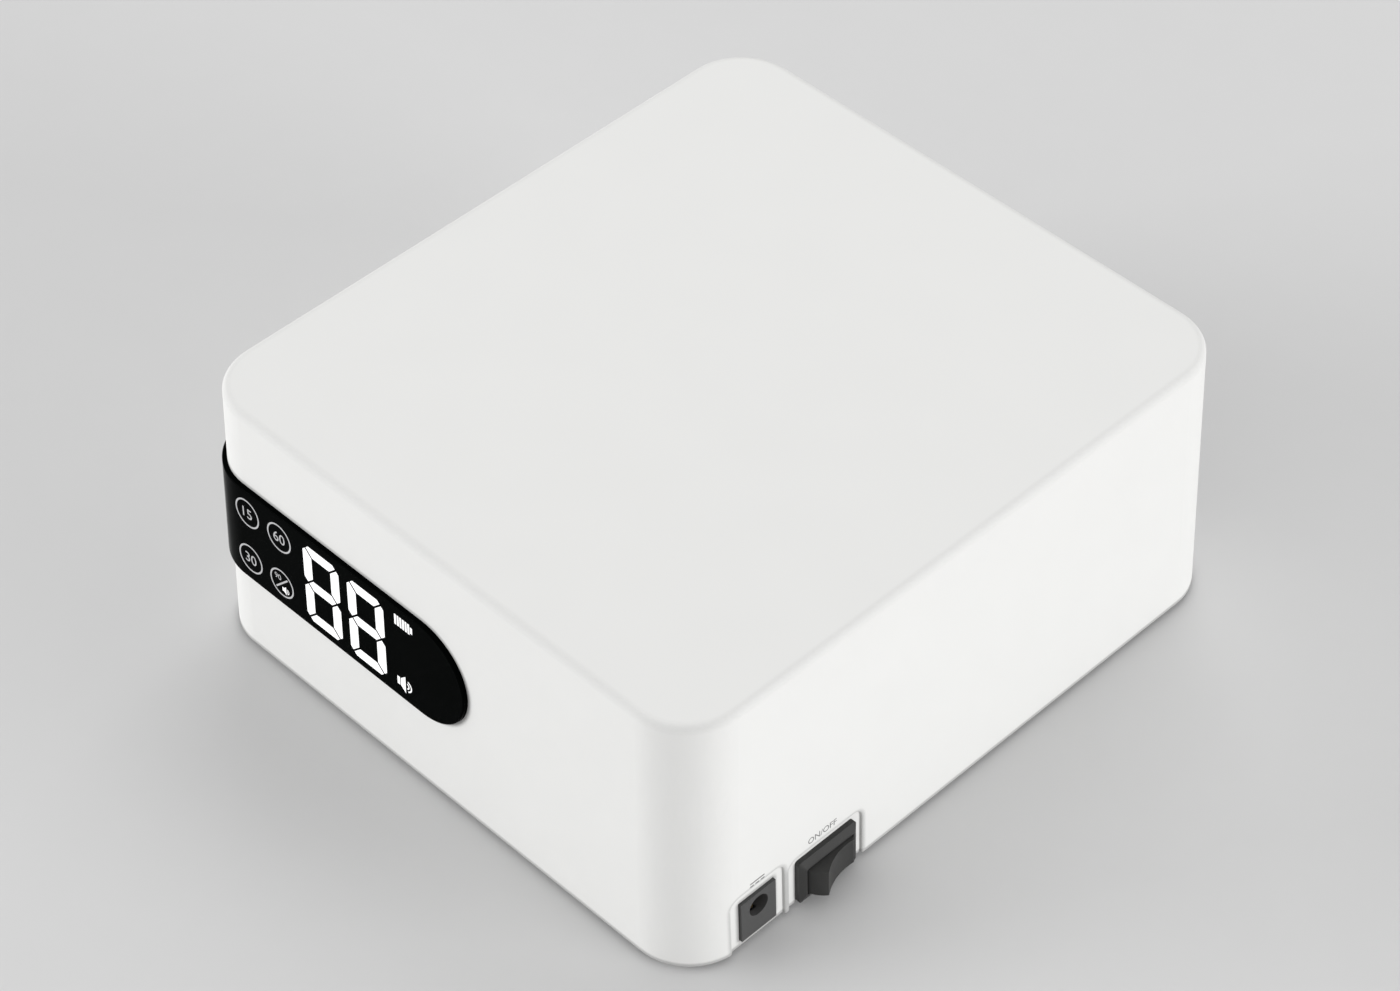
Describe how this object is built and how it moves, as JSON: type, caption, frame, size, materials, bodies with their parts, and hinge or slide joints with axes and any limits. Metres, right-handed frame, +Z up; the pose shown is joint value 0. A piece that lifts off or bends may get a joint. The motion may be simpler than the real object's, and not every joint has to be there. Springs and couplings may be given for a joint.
{
  "type": "cordless nail lamp",
  "caption": "White cordless nail lamp: a box with a mirror-lined hand chamber, a slide-out base tray, a smoked wrap-round control window, a rocker switch and a charging socket.",
  "frame": {"origin": "on the table, at the centre of the lamp's footprint with its raised rocker", "axes": "+Z up; the hand goes in along +Y; the charging socket and rocker switch are on the -X wall"},
  "size_m": [0.1908, 0.2045, 0.0866],
  "materials": {
    "white_shell": "moulded white plastic, satin",
    "smoked_window": "near-black gloss plastic",
    "mirror_liner": "vacuum-metallised plastic",
    "white_base": "moulded white plastic, matt",
    "grey_plastic": "moulded dark grey plastic",
    "socket_plastic": "moulded grey plastic",
    "foot_rubber": "soft rubber",
    "screw_steel": "plated steel",
    "contact_brass": "plain brass",
    "nickel_strip": "plain nickel strip",
    "magnet_nickel": "nickel-plated magnet",
    "circuit_board": "glass-epoxy board, green mask",
    "lamp_board": "aluminium board, white mask",
    "lamp_lens": "clear lens over a violet-white chip",
    "sensor_resin": "dark infrared-clear resin",
    "display_body": "grey display block with white bars",
    "foam_pad": "conductive foam",
    "chip_plastic": "moulded black epoxy",
    "ferrite": "sintered ferrite and sleeved cans",
    "cell_sleeve": "blue shrink sleeve",
    "spring_steel": "spring wire",
    "wire_red": "soft insulation"
  },
  "bodies": {
    "housing": {"housing_shell": "white_shell", "control_panel": "smoked_window", "base_frame": "white_base", "rubber_feet": "foot_rubber", "case_screws": "screw_steel", "liner_screws": "screw_steel", "board_screws": "screw_steel", "reflector_liner": "mirror_liner", "top_led_board": "lamp_board", "left_led_board": "lamp_board", "right_led_board": "lamp_board", "back_led_board": "lamp_board", "top_leds": "lamp_lens", "left_leds": "lamp_lens", "right_leds": "lamp_lens", "back_leds": "lamp_lens", "hand_sensors": "sensor_resin", "frame_magnets": "magnet_nickel", "control_board": "circuit_board", "board_chips": "chip_plastic", "board_power_parts": "ferrite", "buzzer": "chip_plastic", "digit_display": "display_body", "touch_pads": "foam_pad", "battery_cells": "cell_sleeve", "cell_brackets": "grey_plastic", "cell_strips": "nickel_strip", "protection_board": "circuit_board", "jack_body": "socket_plastic", "jack_pin": "contact_brass", "jack_contact": "contact_brass", "switch_body": "grey_plastic", "switch_terminals": "contact_brass", "jack_lead": "wire_red", "switch_lead": "wire_red", "battery_lead": "wire_red", "lamp_leads": "wire_red"},
    "tray": {"base_tray": "white_base", "tray_magnets": "magnet_nickel"},
    "rocker": {"rocker_paddle": "grey_plastic", "switch_plunger": "contact_brass", "plunger_spring": "spring_steel"},
    "contact": {"see_saw_contact": "contact_brass"}
  },
  "joints": [
    {"name": "tray_slide", "type": "slide", "parent": "housing", "child": "tray", "axis": [0, -1, 0], "range_m": [0, 0.14]},
    {"name": "rocker_tilt", "type": "hinge", "parent": "housing", "child": "rocker", "pos_m": [-0.08865, 0.053, 0.00917], "axis": [-0.0277, 0, -0.9996], "range_deg": [0, 28]},
    {"name": "contact_tilt", "type": "hinge", "parent": "housing", "child": "contact", "pos_m": [-0.08225, 0.053, 0.00899], "axis": [-0.0277, 0, -0.9996], "range_deg": [-20.1, 0]}
  ],
  "couplings": [
    {"joint": "contact_tilt", "follows": "rocker_tilt", "ratio": -0.71429}
  ]
}
